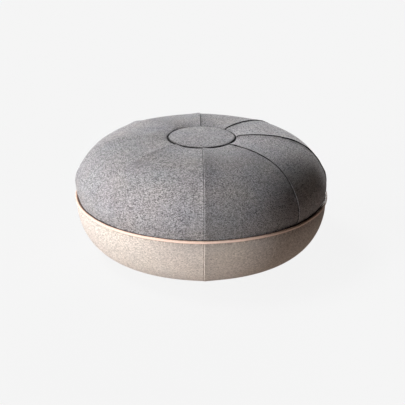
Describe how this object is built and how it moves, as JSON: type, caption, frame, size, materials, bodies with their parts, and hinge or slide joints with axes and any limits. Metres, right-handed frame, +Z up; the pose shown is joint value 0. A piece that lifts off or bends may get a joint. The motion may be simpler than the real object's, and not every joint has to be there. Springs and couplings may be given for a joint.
{
  "type": "floor pouf",
  "caption": "Round floor pouf with a domed, gored grey cloth top, a leather-piped seam and a sand canvas lower cover, resting on a flat base.",
  "frame": {"origin": "on the floor, under the centre of the pouf", "axes": "+Z up along the pouf's axis; one seam of the top cover and one of the lower cover face -Y, the front in the picture"},
  "size_m": [0.5204, 0.5204, 0.2395],
  "materials": {
    "top_cloth": "matt grey melange woven cloth",
    "lower_canvas": "matt sand-coloured canvas",
    "piping_leather": "smooth tan leather with a soft sheen"
  },
  "bodies": {
    "root": {"centre_disc": "top_cloth", "gore_1": "top_cloth", "gore_2": "top_cloth", "gore_3": "top_cloth", "gore_4": "top_cloth", "gore_5": "top_cloth", "gore_6": "top_cloth", "gore_7": "top_cloth", "gore_8": "top_cloth", "piping": "piping_leather", "lower_panel_1": "lower_canvas", "lower_panel_2": "lower_canvas", "lower_panel_3": "lower_canvas", "lower_panel_4": "lower_canvas", "base_disc": "lower_canvas"}
  },
  "joints": []
}
